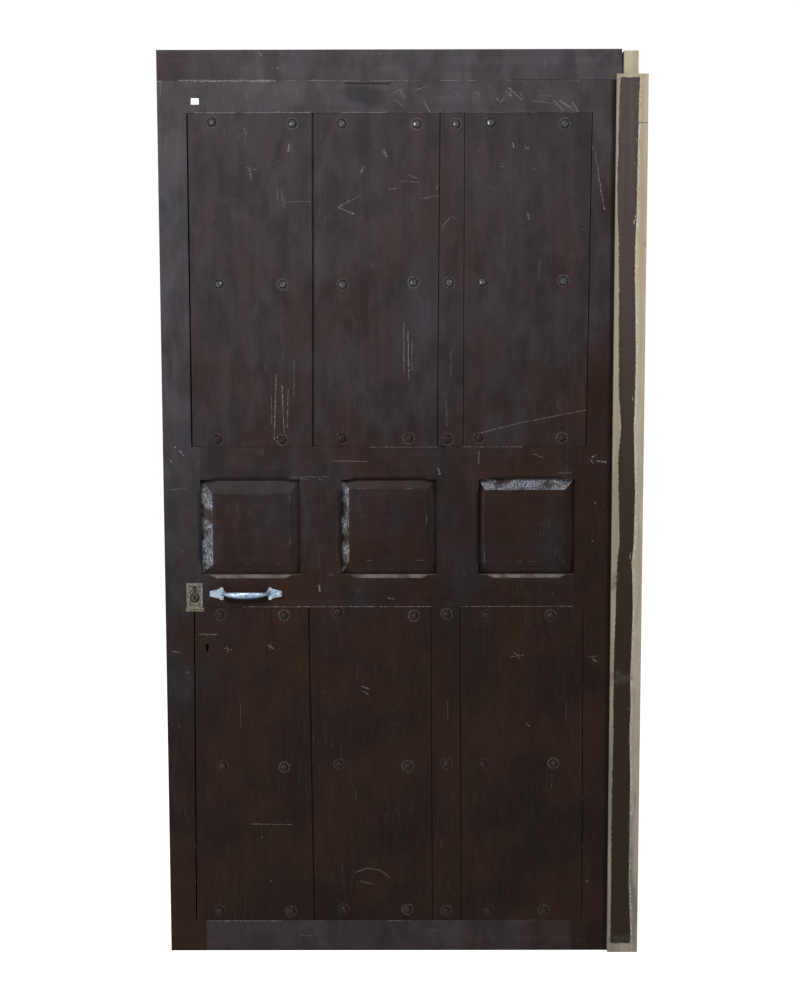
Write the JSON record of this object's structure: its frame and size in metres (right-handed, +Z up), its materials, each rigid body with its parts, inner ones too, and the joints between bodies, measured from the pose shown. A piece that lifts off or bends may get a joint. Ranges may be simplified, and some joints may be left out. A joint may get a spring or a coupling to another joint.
{
  "type": "old framed and boarded door",
  "caption": "Tall rectangular boarded timber door leaf with raised panels, forged studs, pull handle and locks, hung on a rebated jamb by lift-off hinges.",
  "frame": {"origin": "middle of the foot of the whole door, leaf and jamb together with what stands off both faces", "axes": "+X from the lock edge towards the jamb, -Y towards the studded front, +Z up; the leaf is shut"},
  "size_m": [1.098, 0.1134, 2.08],
  "materials": {
    "painted_timber": "dark brown paint, satin, scratched",
    "back_timber": "brown stained timber",
    "jamb_timber": "bare pale timber with a dark painted band",
    "painted_iron": "forged iron painted over",
    "hinge_steel": "zinc plated, dull",
    "washer_brass": "dull",
    "screw_steel": "zinc plated",
    "handle_zinc": "bluish white, worn",
    "plate_brass": "tarnished",
    "cylinder_brass": "tarnished",
    "case_paint": "brown enamel",
    "bolt_steel": "worn",
    "old_iron": "old wrought iron"
  },
  "bodies": {
    "jamb": {"jamb": "jamb_timber", "bottom_hinge_jamb_half": "hinge_steel", "middle_hinge_jamb_half": "hinge_steel", "top_hinge_jamb_half": "hinge_steel", "hinge_pins": "hinge_steel", "hinge_washers": "washer_brass", "hinge_screws_jamb": "screw_steel"},
    "leaf": {"lock_stile": "painted_timber", "hinge_stile": "painted_timber", "top_board": "painted_timber", "top_rail": "painted_timber", "upper_middle_rail": "painted_timber", "lower_middle_rail": "painted_timber", "bottom_rail": "painted_timber", "left_upright": "painted_timber", "right_upright": "painted_timber", "left_panel": "painted_timber", "middle_panel": "painted_timber", "right_panel": "painted_timber", "upper_left_board": "painted_timber", "upper_middle_board": "painted_timber", "upper_narrow_board": "painted_timber", "upper_right_board": "painted_timber", "lower_left_board": "painted_timber", "lower_middle_board": "painted_timber", "lower_narrow_board": "painted_timber", "lower_right_board": "painted_timber", "upper_ledge": "back_timber", "lower_ledge": "back_timber", "lock_block": "back_timber", "top_board_dowels": "back_timber", "top_studs": "painted_iron", "upper_ledge_studs": "painted_iron", "upper_rail_studs": "painted_iron", "lower_rail_studs": "painted_iron", "lower_ledge_studs": "painted_iron", "bottom_studs": "painted_iron", "bottom_hinge_leaf_half": "hinge_steel", "middle_hinge_leaf_half": "hinge_steel", "top_hinge_leaf_half": "hinge_steel", "hinge_screws_leaf": "screw_steel", "pull_handle": "handle_zinc", "handle_screws": "screw_steel", "cylinder_plate": "plate_brass", "plate_bolts": "screw_steel", "lock_cylinder": "cylinder_brass", "cylinder_fixing_screw": "screw_steel", "rim_lock_case": "case_paint", "rim_lock_base": "case_paint", "rim_lock_screws": "screw_steel", "old_lock_case": "old_iron", "old_lock_base": "old_iron", "old_lock_key_post": "old_iron", "old_lock_nails": "old_iron"},
    "cylinder_plug": {"outer_plug": "cylinder_brass", "inner_plug": "cylinder_brass", "cylinder_cam": "cylinder_brass"},
    "rim_bolt": {"rim_lock_bolt": "bolt_steel"},
    "old_bolt": {"old_lock_bolt": "old_iron"}
  },
  "joints": [
    {"name": "leaf_swing", "type": "hinge", "parent": "jamb", "child": "leaf", "pos_m": [0.49225, 0.03475, 1], "axis": [0, 0, -1], "range_deg": [0, 110]},
    {"name": "cylinder_turn", "type": "hinge", "parent": "leaf", "child": "cylinder_plug", "pos_m": [-0.481, -0.01825, 0.8435], "axis": [0, 1, 0], "range_deg": [0, 360]},
    {"name": "rim_bolt_slide", "type": "slide", "parent": "leaf", "child": "rim_bolt", "axis": [-1, 0, 0], "range_m": [0, 0.018]},
    {"name": "old_bolt_slide", "type": "slide", "parent": "leaf", "child": "old_bolt", "axis": [-1, 0, 0], "range_m": [0, 0.025]}
  ],
  "couplings": [
    {"joint": "cylinder_turn", "follows": "rim_bolt_slide", "rad_per_m": 349.06}
  ]
}
